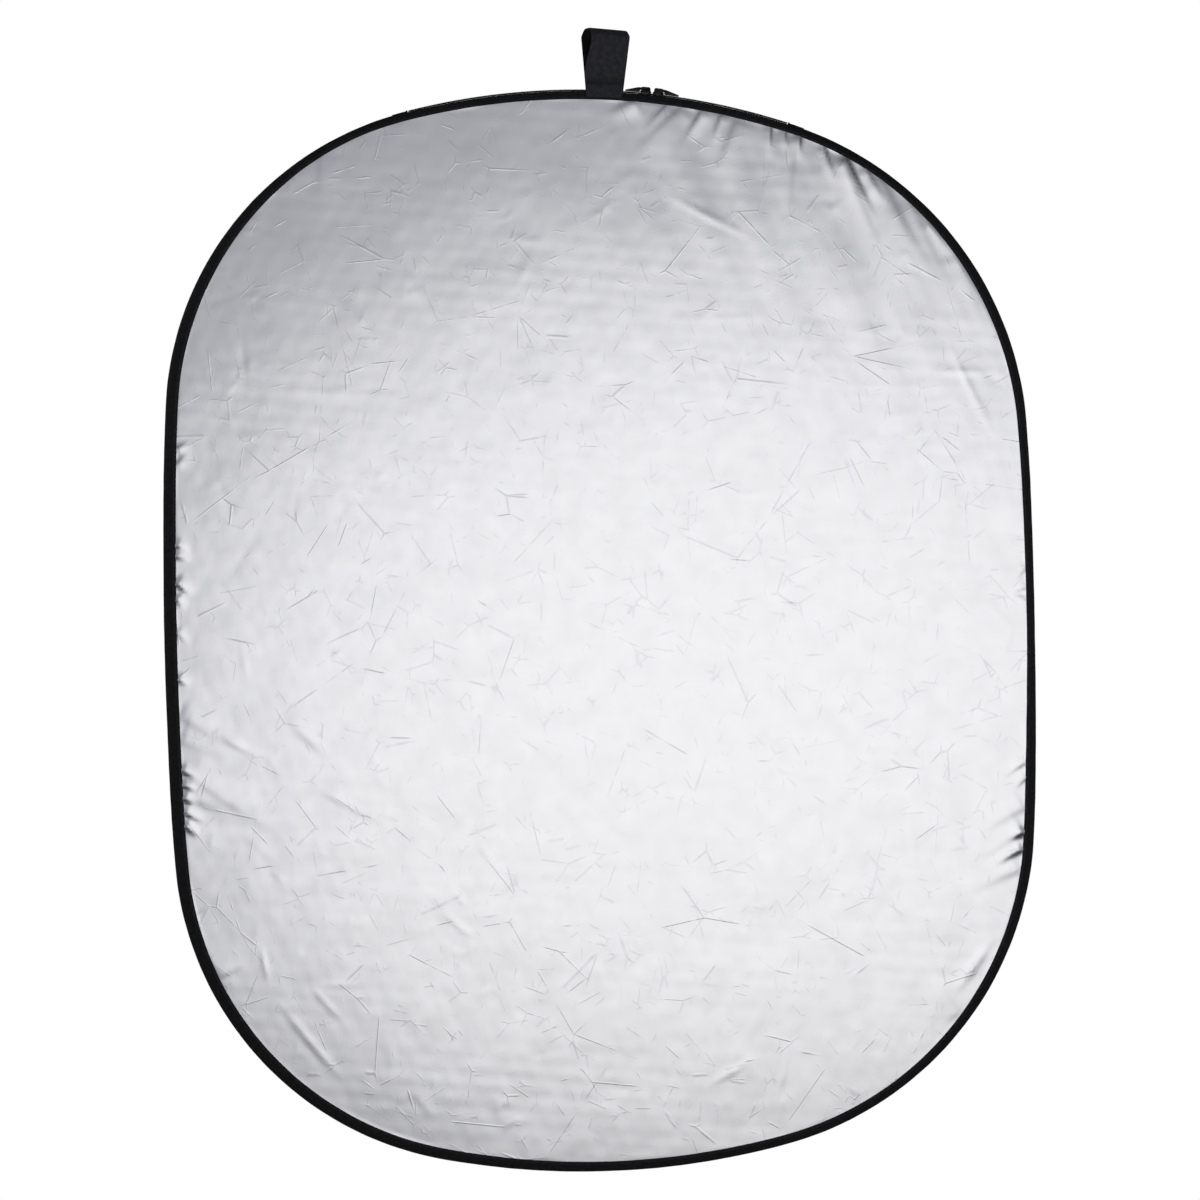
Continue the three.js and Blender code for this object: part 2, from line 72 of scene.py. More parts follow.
gusset_low, gusset_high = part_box("gusset_lower")
panel_low, panel_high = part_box("front_panel_lower")
joints = {joint["name"]: joint for joint in frame["joints"]}
mounts = {mount["name"]: mount for mount in frame["record"]["mounts"]}
FOLD_Z = joints["disc_bend"]["pos_m"][2]
MIDDLE_X = (gusset_low.x + gusset_high.x) / 2
MIDDLE = np.array([MIDDLE_X, FOLD_Z])
PANEL_DEPTH = panel_low.z - gusset_low.z
PANEL_FRONT = -panel_low.y
RIM_HALF = gusset_high.y
BINDING_FRONT = -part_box("front_binding_lower")[0].y
CHANNEL_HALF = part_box("channel_lower")[1].y
HOOP_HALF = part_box("hoop_upper")[1].y
UP = -np.array(mounts["hanging_loop_crown"]["axis"])
ACROSS = np.array([UP[2], 0, -UP[0]])
FRONT = np.array([0, -1, 0])

# ---- Rim outline -----------------------------------------------------------------------------------------

SPAN_STEPS = 60 # points worked out on each span of the spline
SAMPLES = 8000 # points kept round the rim
TANGENT_REACH = 4 # samples to each side that give the rim's direction


def panel_corners():
    """The corners of the CAD cover panels, as [x, z], clockwise from the top and without the fold line's."""
    found = set()
    for name in ("front_panel_upper", "front_panel_lower"):
        for vertex in frame["nodes"][name].data.vertices:
            if abs(vertex.co.z - FOLD_Z) > MM:
                found.add((round(vertex.co.x, 5), round(vertex.co.z, 5)))
    return np.array(sorted(found, key=lambda p: math.atan2(p[0] - MIDDLE_X, p[1] - FOLD_Z) % FULL_TURN))


def smooth_closed(points, count):
    """count points, evenly spaced, on the periodic cubic spline through the given ones, and its length."""
    after = np.roll(points, -1, 0)
    step = np.linalg.norm(after - points, axis=1)
    before = np.roll(step, 1)
    rows = np.arange(len(points))
    system = np.diag(2 * (step + before))
    system[rows, (rows + 1) % len(points)] += step
    system[rows, rows - 1] += before
    slope = (after - points) / step[:, None]
    bend = np.linalg.solve(system, 6 * (slope - np.roll(slope, 1, 0)))
    t = np.linspace(0, 1, SPAN_STEPS, endpoint=False)[None, :, None]
    sag = lambda share: (share**3 - share) * step[:, None, None] ** 2 / 6
    curve = (1 - t) * points[:, None] + t * after[:, None]
    curve = curve + sag(1 - t) * bend[:, None] + sag(t) * np.roll(bend, -1, 0)[:, None]
    loop = np.vstack([curve.reshape(-1, 2), points[:1]])
    along = np.r_[0, np.cumsum(np.linalg.norm(np.diff(loop, axis=0), axis=1))]
    even = np.linspace(0, along[-1], count, endpoint=False)
    return np.stack([np.interp(even, along, loop[:, axis]) for axis in (0, 1)], 1), along[-1]


edge, EDGE_LENGTH = smooth_closed(panel_corners(), SAMPLES)
edge_along = np.roll(edge, -TANGENT_REACH, 0) - np.roll(edge, TANGENT_REACH, 0)
edge_along /= np.linalg.norm(edge_along, axis=1)[:, None]
edge_out = np.stack([-edge_along[:, 1], edge_along[:, 0]], 1)


def share_where(directions, degrees):
    """The share of the way round at which a direction from a table of them points some degrees from up."""
    turned = np.unwrap(np.arctan2(directions[:, 0], directions[:, 1]))
    target = turned[0] + (math.radians(degrees) - turned[0]) % FULL_TURN
    turned = np.maximum.accumulate(np.append(turned, turned[0] + FULL_TURN))
    return float(np.interp(target, turned, np.linspace(0, 1, SAMPLES + 1)))


def at_heading(degrees):
    return share_where(edge_out, degrees)


def at_bearing(degrees):
    return share_where(edge - MIDDLE, degrees)


def around(values, shares):
    """Values held at even steps round the rim, read at any shares of the way round."""
    place = np.mod(shares, 1.0) * SAMPLES
    low = np.floor(place).astype(int)
    part = (place - low)[..., None]
    return values[low % SAMPLES] * (1 - part) + values[(low + 1) % SAMPLES] * part


def smoothstep(values, low, high):
    t = np.clip((values - low) / (high - low), 0, 1)
    return t * t * (3 - 2 * t)


# How much deeper than drawn the front seam is sewn, in millimetres, at some bearings.
SEAM_DRIFT = [
    (0, -1.5), (30, -2.3), (50, 0), (70, -2), (90, -3.2), (110, 0.7), (140, -1), (180, -0.5), (210, 2.6),
    (235, 4.2), (270, 3.6), (310, 2.8), (332, -2.4),
]
SEAM_EASING = 240 # samples of the rim over which the drift is evened out
SEAM_TURN = (3 * MM, 10 * MM) # the depths between which the drift grows from nothing to all of it


def seam_drift():
    """The drift at every sample of the rim."""
    bearings = np.degrees(np.arctan2(*(edge - MIDDLE).T)) % 360
    places, drifts = np.array(SEAM_DRIFT).T
    drift = np.interp(bearings, places, drifts * MM, period=360)
    window = np.ones(SEAM_EASING) / SEAM_EASING
    eased = np.convolve(np.tile(drift, 3), window, "same")
    return eased[SAMPLES : 2 * SAMPLES]


edge_drift = seam_drift()[:, None]


def rim_points(shares, front, depth):
    """Points [x, y, z] of the rim's cloth. shares, front and depth are arrays that broadcast together."""
    shares, front, depth = np.broadcast_arrays(shares, front, depth)
    out = around(edge_out, shares)
    facing = np.clip(front / RIM_HALF, 0, 1) * smoothstep(depth, *SEAM_TURN)
    sewn = depth + facing * around(edge_drift, shares)[..., 0]
    flat = around(edge, shares) + out * (PANEL_DEPTH - sewn)[..., None]
    return np.stack([flat[..., 0], -front, flat[..., 1]], -1)


# ---- Meshes ----------------------------------------------------------------------------------------------


def mesh_object(name, points, faces, uv=None):
    """A smooth-shaded mesh in the scene. uv has one pair for each point."""
    mesh = bpy.data.meshes.new(name)
    mesh.from_pydata(np.asarray(points).reshape(-1, 3).tolist(), [], faces)
    if uv is not None:
        corners = np.zeros(len(mesh.loops), np.int32)
        mesh.loops.foreach_get("vertex_index", corners)
        layer = mesh.uv_layers.new(name="UVMap")
        layer.data.foreach_set("uv", np.asarray(uv, np.float32).reshape(-1, 2)[corners].ravel())
    mesh.shade_smooth()
    made = bpy.data.objects.new(name, mesh)
    bpy.context.scene.collection.objects.link(made)
    return made


def loft_faces(count, size, closed):
    """Quads between rings of points, each ring joined to the next, and the caps of an open loft."""
    i = np.arange(count if closed else count - 1)[:, None] + np.zeros((1, size), int)
    j = np.arange(size)[None, :] + np.zeros_like(i)
    here, there, after = i * size, (i + 1) % count * size, (j + 1) % size
    quads = np.stack([here + j, here + after, there + after, there + j], -1).reshape(-1, 4).tolist()
    if not closed:
        quads.append(list(range(size))[::-1])
        quads.append(list(range((count - 1) * size, count * size)))
    return quads


def loft(name, rings, closed=False):
    """A closed skin through rings of points. Its uv is the distance along and round it, in metres."""
    rings = np.asarray(rings, float)
    reach = lambda axis: np.linalg.norm(np.diff(rings, axis=axis), axis=2).mean(1 - axis)
    along = np.r_[0, np.cumsum(reach(0))]
    across = np.r_[0, np.cumsum(reach(1))]
    uv = np.stack(np.broadcast_arrays(along[:, None], across[None, :]), -1)
    return mesh_object(name, rings, loft_faces(len(rings), rings.shape[1], closed), uv)


def rounded(points, times=2, closed=False):
    """The line or outline with its corners cut off, again and again."""
    points = np.asarray(points, float)
    for _ in range(times):
        after = np.roll(points, -1, 0)
        pairs = np.stack([0.75 * points + 0.25 * after, 0.25 * points + 0.75 * after], 1)
        if closed:
            points = pairs.reshape(-1, points.shape[1])
        else:
            points = np.vstack([points[:1], pairs[:-1].reshape(-1, points.shape[1]), points[-1:]])
    return points


def outlined(line, thickness):
    """The outline of a band of some thickness that follows a line of [a, b] points."""
    line = np.asarray(line, float)
    along = np.gradient(line, axis=0)
    along /= np.linalg.norm(along, axis=1)[:, None]
    side = np.stack([-along[:, 1], along[:, 0]], 1) * thickness / 2
    return np.vstack([line + side, (line - side)[::-1]])


def waves(x, z, lengths, count, seed):
    """Smooth seeded unevenness of about unit height, from plane waves of wavelengths between two lengths."""
    rng = np.random.default_rng(seed)
    total = 0.0
    for _ in range(count):
        angle, phase = rng.uniform(0, FULL_TURN, 2)
        size = FULL_TURN / rng.uniform(*lengths)
        total = total + np.sin(size * (x * math.cos(angle) + z * math.sin(angle)) + phase)
    return total / math.sqrt(count)


def rim_run(start, end, spacing):
    """Shares from one heading clockwise to another, or right round where there are none."""
    if start is None:
        return np.arange(round(EDGE_LENGTH / spacing)) / round(EDGE_LENGTH / spacing)
    first = at_heading(start)
    length = (at_heading(end) - first) % 1.0
    return first + np.linspace(0, length, max(3, round(length * EDGE_LENGTH / spacing)))


RIM_WAVES = (25 * MM, 90 * MM) # wavelengths of the unevenness of the rim's cloth


def rim_band(name, section, start=None, end=None, spacing=4 * MM, wobble=0.0, seed=0):
    """A section of [front, depth] points swept round the rim, or from one heading clockwise to another."""
    shares = rim_run(start, end, spacing)[:, None]
    section = np.asarray(section, float)[::-1]
    front, depth = section[None, :, 0], section[None, :, 1]
    lift = wobble * waves(shares * EDGE_LENGTH, front - depth, RIM_WAVES, 9, seed)
    rings = rim_points(shares, front + np.sign(front) * lift, depth + 0.6 * lift)
    return loft(name, rings, start is None)


def stitch_row(name, places, along, out, length=2.1 * MM, width=0.5 * MM):
    """A thread lump at each place, lying along one direction and standing out in another."""
    turns, levels = 6, np.array([-0.95, -0.55, 0.0, 0.55, 0.95])
    angles = FULL_TURN * np.arange(turns) / turns
    swell = np.sqrt(1 - levels**2)[:, None]
    side = np.cross(along, out)
    ring = lambda axis, size, amount: axis[:, None, None, :] * (size * amount)[None, :, :, None]
    lumps = places[:, None, None, :] + ring(along, length / 2, levels[:, None] + 0 * angles)
    lumps = lumps + ring(out, width / 2, swell * np.cos(angles))
    lumps = lumps + ring(side, width / 2, swell * np.sin(angles))
    one = np.array(loft_faces(len(levels), turns, True)[: (len(levels) - 1) * turns])
    first = (np.arange(len(places)) * len(levels) * turns)[:, None, None]
    faces = (first + one[None]).reshape(-1, 4).tolist()
    for cap in (np.arange(turns)[::-1], (len(levels) - 1) * turns + np.arange(turns)):
        faces += (first[:, :, 0] + cap[None]).tolist()
    return mesh_object(name, lumps, faces)


# ---- Materials -------------------------------------------------------------------------------------------


class Look:
    """A material made of nodes: a Principled shader, a texture space, and a few ways to add detail."""

    def __init__(self, name, color, roughness, metallic=0.0, space="UV", **sockets):
        self.material = bpy.data.materials.new(name)
        self.material.use_nodes = True
        self.nodes = self.material.node_tree.nodes
        self.links = self.material.node_tree.links
        self.shader = self.nodes["Principled BSDF"]
        self.shader.inputs["Base Color"].default_value = (*color, 1)
        self.shader.inputs["Roughness"].default_value = roughness
        self.shader.inputs["Metallic"].default_value = metallic
        for key, value in sockets.items():
            self.shader.inputs[key.replace("_", " ")].default_value = value
        self.place = self.nodes.new("ShaderNodeTexCoord").outputs[space]
        self.normal = None

    def node(self, kind, settings=(), **inputs):
        """A node with its settings, and its inputs by name, or by number as i0, i1 and so on."""
        made = self.nodes.new(kind)
        for key, value in dict(settings).items():
            setattr(made, key, value)
        for key, value in inputs.items():
            socket = made.inputs[int(key[1:]) if key[1:].isdigit() else key]
            if isinstance(value, bpy.types.NodeSocket):
                self.links.new(value, socket)
            else:
                socket.default_value = value
        return made

    def math(self, operation, first, second=0.0):
        return self.node("ShaderNodeMath", {"operation": operation}, i0=first, i1=second).outputs[0]

    def stretched(self, scale):
        """The texture space, scaled differently along each of its axes."""
        return self.node("ShaderNodeMapping", Vector=self.place, Scale=scale).outputs[0]

    def noise(self, scale, detail=3.0, rough=0.5, place=None):
        inputs = {"Vector": place or self.place, "Scale": scale, "Detail": detail, "Roughness": rough}
        return self.node("ShaderNodeTexNoise", **inputs).outputs["Fac"]

    def ramp(self, value, low, high, to_low=0.0, to_high=1.0):
        """A smooth step from one number to another, while a value goes from low to high."""
        settings = {"interpolation_type": "SMOOTHSTEP"}
        ends = {"i1": low, "i2": high, "i3": to_low, "i4": to_high}
        return self.node("ShaderNodeMapRange", settings, Value=value, **ends).outputs[0]

    def strokes(self, scale, angle, width, cover):
        """Short straight creases, most of them along one direction, that meet here and there."""
        turn = (0, 0, math.radians(angle))
        turned = self.node("ShaderNodeMapping", Vector=self.place, Rotation=turn).outputs[0]
        drawn = self.node("ShaderNodeMapping", Vector=turned, Scale=(0.5, 1, 1)).outputs[0]
        settings = {"feature": "DISTANCE_TO_EDGE"}
        cells = self.node("ShaderNodeTexVoronoi", settings, Vector=drawn, Scale=scale)
        mask = self.ramp(self.noise(scale * 0.8, 3.0, 0.6, turned), 0.62 - cover, 0.7 - cover)
        return self.math("MULTIPLY", self.ramp(cells.outputs[0], 0.0, width, 1.0, 0.0), mask)

    def blended(self, value, low, high):
        """A mix of two colours, either of them a colour or the output of a node, by a value from 0 to 1."""
        ends = [end if isinstance(end, bpy.types.NodeSocket) else (*end, 1) for end in (low, high)]
        mix = self.node("ShaderNodeMix", {"data_type": "RGBA"}, Factor=value, i6=ends[0], i7=ends[1])
        return mix.outputs[2]

    def vary(self, socket, value, low, high):
        """Drives a socket between two numbers, or two colours, by a value from 0 to 1."""
        if isinstance(high, tuple):
            mixed = self.blended(value, low, high)
        else:
            mixed = self.ramp(value, 0.0, 1.0, low, high)
        self.links.new(mixed, self.shader.inputs[socket])

    def bump(self, height, distance, strength=1.0):
        inputs = {"Height": height, "Distance": distance, "Strength": strength}
        if self.normal is not None:
            inputs["Normal"] = self.normal
        self.normal = self.node("ShaderNodeBump", **inputs).outputs[0]
        self.links.new(self.normal, self.shader.inputs["Normal"])


CREASE_WIDTH = 0.9 * MM
CREASE_COVER = 0.07 # raises how much of the film each set of creases covers
FILM_CREASES = [(11, 8), (15, 62), (13, 121), (21, 165), (25, 35), (30, 95)] # scale and angle of each set
PAINTED_SHADE_MARK = "fold" # the mesh attribute that holds the painted shade of each fold
FOLD_SHADE = 0.12 # how much of the film's colour the painted shade leaves in the darkest fold


def film(name, color, shade, roughness):
    """Metallised film on cloth: satin, with painted shade along thin creases and where the mesh marks a fold."""
    look = Look(name, color, roughness, metallic=1.0)
    look.vary("Roughness", look.noise(30.0, 4.0), roughness - 0.03, roughness + 0.05)
    look.bump(look.noise(24.0, 4.0, 0.5), 0.2 * MM, 0.5)
    look.bump(look.noise(70.0, 3.0, 0.6, look.stretched((1.0, 0.35, 1.0))), 0.18 * MM, 0.5)
    creased = 0.0
    for scale, angle in FILM_CREASES:
        strokes = look.strokes(scale, angle, CREASE_WIDTH * scale, CREASE_COVER)
        creased = look.math("MAXIMUM", strokes, creased)
        look.bump(strokes, 3.0 / scale * MM, 0.6)
    # Painted shade: the colour darkens towards the second colour along the creases.
    painted_crease_shade = look.blended(look.math("MULTIPLY", creased, look.noise(50.0, 2.0)), color, shade)
    # Painted shade: the fold mark darkens the colour towards a small share of itself.
    folded = look.node("ShaderNodeAttribute", {"attribute_name": PAINTED_SHADE_MARK}).outputs["Fac"]
    look.vary("Base Color", folded, painted_crease_shade, tuple(FOLD_SHADE * c for c in color))
    return look.material


def woven(name, color, worn, roughness, pitch, depth=0.12 * MM):
    """Matt woven cloth with threads at some pitch each way, in metres."""
    look = Look(name, color, roughness, Sheen_Weight=0.1, Sheen_Roughness=0.5, Specular_IOR_Level=0.2)
    look.vary("Base Color", look.ramp(look.noise(160.0, 4.0), 0.35, 0.7), color, worn)
    look.vary("Roughness", look.noise(90.0, 2.0), roughness - 0.06, roughness + 0.08)
    split = look.node("ShaderNodeSeparateXYZ", i0=look.place).outputs
    threads = []
    for axis in (0, 1):
        phase = look.math("MULTIPLY", split[axis], FULL_TURN / pitch[axis])
        threads.append(look.math("SINE", phase))
    look.bump(look.math("MULTIPLY", *threads), depth, 0.6)
    look.bump(look.noise(420.0, 2.0), 0.1 * MM, 0.4)
    return look.material


def drawn_thread(name, color, light, roughness):
    """Nylon or polyester thread."""
    look = Look(name, color, roughness, space="Object", Specular_IOR_Level=0.35)
    look.vary("Base Color", look.noise(500.0, 2.0), color, light)
    look.vary("Roughness", look.noise(300.0, 2.0), roughness - 0.08, roughness + 0.1)
    look.bump(look.noise(1500.0, 2.0), 0.03 * MM, 0.5)
    return look.material


def enamel(name, color, roughness, metallic):
    """Enamelled or plain metal, slightly uneven, with a painted highlight lightening its colour along its edges.
    """
    look = Look(name, color, roughness, metallic, space="Object")
    look.vary("Roughness", look.noise(300.0, 4.0), roughness - 0.08, roughness + 0.12)
    look.bump(look.noise(900.0, 3.0), 0.05 * MM, 0.4)
    # Painted highlight: the colour is lighter along sharp edges.
    edge_highlight = look.ramp(look.node("ShaderNodeNewGeometry").outputs["Pointiness"], 0.52, 0.62)
    look.vary("Base Color", edge_highlight, color, tuple(min(1.0, 1.8 * c + 0.02) for c in color))
    return look.material


def nylon(name, color):
    """Thin white diffusion cloth."""
    look = Look(name, color, 0.75, Sheen_Weight=0.1)
    look.vary("Base Color", look.noise(40.0, 3.0), tuple(0.94 * c for c in color), color)
    look.vary("Roughness", look.noise(60.0, 2.0), 0.7, 0.82)
    look.bump(look.noise(240.0, 3.0), 0.1 * MM, 0.4)
    return look.material


BLACK = (0.005, 0.0052, 0.006)
OFF_BLACK = (0.011, 0.0115, 0.013)
DARK_GREY = (0.024, 0.0245, 0.028)
GREY = (0.034, 0.035, 0.04)
PALE_GREY = (0.055, 0.056, 0.063)

LOOKS = {
    # The second colour of each film is its painted crease shade.
    "silver": film("silver_film", (0.93, 0.93, 0.94), (0.74, 0.74, 0.77), 0.3),
    "gold": film("gold_film", (0.86, 0.68, 0.36), (0.62, 0.46, 0.22), 0.32),
    "trim": woven("black_edging", BLACK, OFF_BLACK, 0.7, (0.9 * MM, 0.9 * MM)),
    "binding": woven("seam_binding", OFF_BLACK, DARK_GREY, 0.7, (0.8 * MM, 0.8 * MM)),
    "webbing": woven("ribbed_webbing", GREY, PALE_GREY, 0.72, (1.2 * MM, 2.2 * MM), 0.3 * MM),
    "zip": woven("zip_tape", BLACK, OFF_BLACK, 0.6, (0.7 * MM, 0.7 * MM)),
    "coil": drawn_thread("zip_coil_nylon", BLACK, OFF_BLACK, 0.35),
    "thread": drawn_thread("sewing_thread", OFF_BLACK, DARK_GREY, 0.6),
    "hardware": enamel("black_enamel", (0.01, 0.01, 0.012), 0.36, 0.35),
    "steel": enamel("blued_spring_steel", (0.2, 0.21, 0.24), 0.3, 1.0),
    "diffuser": nylon("diffuser_nylon", (0.95, 0.95, 0.94)),
}


def dress(piece, look):
    """Gives a piece its material."""
    piece.data.materials.clear()
    piece.data.materials.append(LOOKS[look])
    return piece


def bends_with_disc(piece):
    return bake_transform(piece)


# ---- Cloth of the cover ----------------------------------------------------------------------------------

BINDING_DEPTHS = (10 * MM, 14.5 * MM) # outer and inner edge of the binding
CLOTH_CELLS = 312 # cells along each side of a cover's grid
DIFFUSER_CELLS = 90
EDGE_CROWDING = 0.85 # under 1, the grid is finer towards the rim
SEWN_FLAT = (0.5 * MM, 3.5 * MM) # how far in from its border the cloth starts to lift, and lifts freely
LIFT_LIMITS = (-3.2 * MM, 4.5 * MM)
# The most painted shade that a fold may hold, 0 to 1.
DARKEST_FOLD_SHADE = 0.9
STARS = 120
STROKES = 260

# Tucks that the seam pulls into the front cloth: the bearing where each starts, the direction it runs in, in
# degrees clockwise from up, its length and width in millimetres, and its strength, which is twice its rise.
FRONT_TUCKS = [
    (4.2, 244, 60, 9, 2.6), (7.5, 222, 60, 6, 1.8), (9.5, 226, 110, 12, 2.2),
    (11.3, 210, 70, 6, 2.2), (13.4, 198, 50, 6, 2.0), (15.5, 200, 110, 14, 2.2),
    (18.6, 178, 50, 5, 2.6), (20.2, 170, 36, 5, 2.4), (21.9, 176, 36, 5, 3.2),
    (21.0, 184, 180, 18, 2.6), (24.6, 160, 60, 5, 2.8), (27.1, 153, 120, 7, 4.4),
    (26.2, 156, 200, 14, 3.0), (29.6, 148, 70, 6, 2.6), (30.8, 150, 220, 16, 2.8),
    (35.0, 154, 240, 18, 2.2), (38.6, 146, 60, 6, 1.8), (43.0, 160, 180, 18, 1.5),
    (81.3, 219, 32, 5, 1.6), (84.0, 250, 30, 5, 1.5), (86.0, 290, 30, 5, 1.4),
    (106.9, 235, 45, 5, 2.0), (108.8, 225, 30, 5, 2.2), (112.0, 240, 90, 14, 2.2),
    (115.2, 241, 30, 5, 4.0), (117.0, 240, 60, 7, 4.2), (114.6, 238, 110, 18, 2.6),
    (119.0, 246, 110, 16, 2.2), (281.4, 112, 24, 5, 3.6), (279.9, 100, 24, 5, 3.6),
    (276.6, 128, 36, 6, 4.4), (274.6, 146, 24, 5, 3.4), (270.0, 135, 30, 5, 1.8),
    (263.6, 118, 22, 5, 3.0), (259.3, 119, 110, 14, 1.4), (256.0, 108, 95, 16, 1.4),
    (251.8, 116, 26, 5, 4.0), (250.0, 112, 28, 5, 4.2), (248.4, 118, 24, 5, 3.8),
    (246.8, 118, 40, 5, 3.0), (245.2, 128, 30, 5, 4.2), (249.4, 112, 120, 18, 2.0),
    (252.4, 123, 230, 14, 1.3), (293.0, 62, 26, 5, 2.2), (291.0, 40, 34, 5, 1.8),
    (228.0, 60, 60, 8, 1.0), (137.0, 320, 90, 10, 1.0), (330.0, 180, 90, 12, 0.8),
]
# Single creases: how far each starts to the right of the disc's centre and above it, the direction it runs
# in, and its length, width and rise, in millimetres.
FRONT_CREASES = [
    (-458, -500, 140, 174, 5, 0.5), (-407, -486, 137, 88, 4, 0.4), (-407, -490, 90, 96, 4, 0.3),
    (-225, -384, 130, 74, 4, 0.5), (-210, -352, 140, 50, 4, 0.4), (-407, -210, 118, 130, 5, 0.45),
    (-473, -426, 167, 71, 4, 0.4), (-171, -291, 145, 44, 4, 0.4), (-438, -117, 133, 94, 9, 0.8),
    (-537, -139, 119, 79, 6, 0.6), (486, -512, 34, 115, 7, 0.9), (426, -235, 174, 125, 5, 0.35),
    (323, -244, 188, 109, 5, 0.3), (139, -636, 60, 96, 5, 0.4), (190, -390, 78, 62, 4, 0.35),
    (250, -645, 8, 70, 4, 0.35), (458, -384, 158, 75, 4, 0.35), (75, 612, 117, 172, 5, 0.5),
    (469, 425, 154, 191, 5, 0.4), (56, 430, 88, 229, 5, 0.12), (233, 348, 93, 278, 5, 0.12),
    (451, 358, 90, 101, 5, 0.25), (83, 250, 183, 156, 4, 0.15), (-4, 57, 97, 70, 4, 0.2),
    (-480, 335, 92, 300, 6, 0.12), (-300, 540, 150, 120, 9, 0.5), (-380, 480, 140, 130, 9, 0.5),
]


def cloth_grid(cells):
    """
    A square grid laid over the disc: the share of the way round the rim at which each point lies, how far
    out from the centre it is, 0 to 1, and the quads.
    """
    axis = np.linspace(-1, 1, cells + 1)
    right, up = np.meshgrid(axis, axis)
    size = np.maximum(np.abs(right), np.abs(up))
    scale = np.where(size > 0, size, 1)
    right, up = right / scale, up / scale
    sides = [up >= 1, right >= 1, up <= -1]
    share = np.select(sides, [right / 8, (2 - up) / 8, (4 - right) / 8], (6 + up) / 8) % 1
    first = (np.arange(cells)[:, None] * (cells + 1) + np.arange(cells)[None, :]).ravel()
    quads = np.stack([first, first + 1, first + cells + 2, first + cells + 1], 1)
    return share.ravel(), size.ravel() ** EDGE_CROWDING, quads


def direction(degrees):
    """A unit vector in [x, z], clockwise from up."""
    return np.array([math.sin(math.radians(degrees)), math.cos(math.radians(degrees))])


def right_of(towards):
    return np.array([towards[1], -towards[0]])


def add_crease(flat, heights, start, towards, length, width, rise, root, bow=0.0, lean=0.0, steep=0):
    """
    Raises a crease that runs from start and fades to its end, or to both ends if root is half or more. Its
    right side, seen along it, is the steep one where steep is 1, and its left side where steep is -1.
    """
    away = flat - start
    along = away @ towards / length
    side = away @ right_of(towards) - bow * length * along * (1 - along)
    near = (along > 0) & (along < 1) & (np.abs(side) < 3.5 * width)
    s, t = side[near] / width, along[near]
    fade = smoothstep(t, 0, root) * smoothstep(1 - t, 0, 1 - root)
    squeezed = s * np.where(s * steep > 0, 1.5, 1 - 0.4 * abs(steep))
    heights[near] += rise * fade * (1 + lean * s) * np.exp(-squeezed**2)


def add_tucks(flat, heights, painted_fold_shade, tucks):
    """Each tuck is a crest that runs in from the seam, with painted shade in a fold under its steep outer side."""
    shape = {"root": 0.1, "bow": 0.08}
    for bearing, towards, length, width, strength in tucks:
        towards = direction(towards)
        start = rim_points(at_bearing(bearing), RIM_HALF, BINDING_DEPTHS[1] - 1 * MM)[[0, 2]]
        steep = np.sign(right_of(towards) @ (start - MIDDLE))
        crest = {"length": length * MM, "width": width * MM, "rise": 0.5 * strength * MM}
        add_crease(flat, heights, start, towards, steep=steep, **crest, **shape)
        # Painted shade: a dark line in the colour, kept in its own array, runs beside the crest on its steep side.
        under = start + 0.5 * steep * width * MM * right_of(towards)
        fold = {"length": 0.8 * length * MM, "width": np.clip(0.35 * width, 2, 4) * MM}
        depth = np.clip(strength / width, 0, 1) * 1.5
        add_crease(flat, painted_fold_shade, under, towards, rise=depth, **fold, **shape)


def add_single_creases(flat, heights, creases):
    for right, up, towards, length, width, rise in creases:
        start = MIDDLE + np.array([right, up]) * MM
        sizes = {"length": length * MM, "width": width * MM, "rise": rise * MM}
        add_crease(flat, heights, start, direction(towards), root=0.5, bow=0.05, lean=-0.9, **sizes)


def add_crinkles(flat, heights, seed):
    """Handling creases: stars of short ones, and longer strokes by themselves."""
    rng = np.random.default_rng(seed)
    reach = 0.95 * np.abs(edge - MIDDLE).max(0)
    for _ in range(STARS):
        centre = MIDDLE + rng.uniform(-1, 1, 2) * reach
        turned = rng.uniform(0, 360)
        for ray in range(rng.integers(2, 5)):
            towards = direction(turned + ray * rng.uniform(70, 150))
            length = rng.uniform(12, 36) * MM
            rise = rng.uniform(0.06, 0.24) * MM
            bow = rng.uniform(-0.2, 0.2)
            add_crease(flat, heights, centre, towards, length, 4 * MM, rise, 0.12, bow, 0.8)
    for _ in range(STROKES):
        centre = MIDDLE + rng.uniform(-1, 1, 2) * reach
        towards = direction(rng.uniform(0, 360))
        length = rng.uniform(25, 110) * MM
        rise = rng.uniform(-0.2, 0.2) * MM
        width = rng.uniform(4, 8) * MM
        bow = rng.uniform(-0.15, 0.15)
        add_crease(flat, heights, centre, towards, length, width, rise, 0.5, bow, 0.6)


def cloth_heights(flat, tucks, creases, seed):
    """How far the cloth stands out of its plane, away from the diffuser, and how much painted shade darkens each
    fold.
    """
    painted_fold_shade = np.zeros(len(flat))
    x, z = flat.T
    heights = 0.2 * MM * waves(x, z, (0.1, 0.3), 14, seed)
    hanging = smoothstep(z, FOLD_Z + 0.2, FOLD_Z + 0.7) * (0.35 + 0.65 * smoothstep(x, -0.3, 0.4))
    heights += 0.55 * MM * hanging * waves(x + 0.4 * z, 0.1 * z, (0.03, 0.09), 12, seed + 1)
    heights += 0.07 * MM * waves(x, z, (0.02, 0.06), 16, seed + 2)
    add_tucks(flat, heights, painted_fold_shade, tucks)
    add_single_creases(flat, heights, creases)
    add_crinkles(flat, heights, seed + 3)
    return heights, np.clip(painted_fold_shade, 0, DARKEST_FOLD_SHADE)


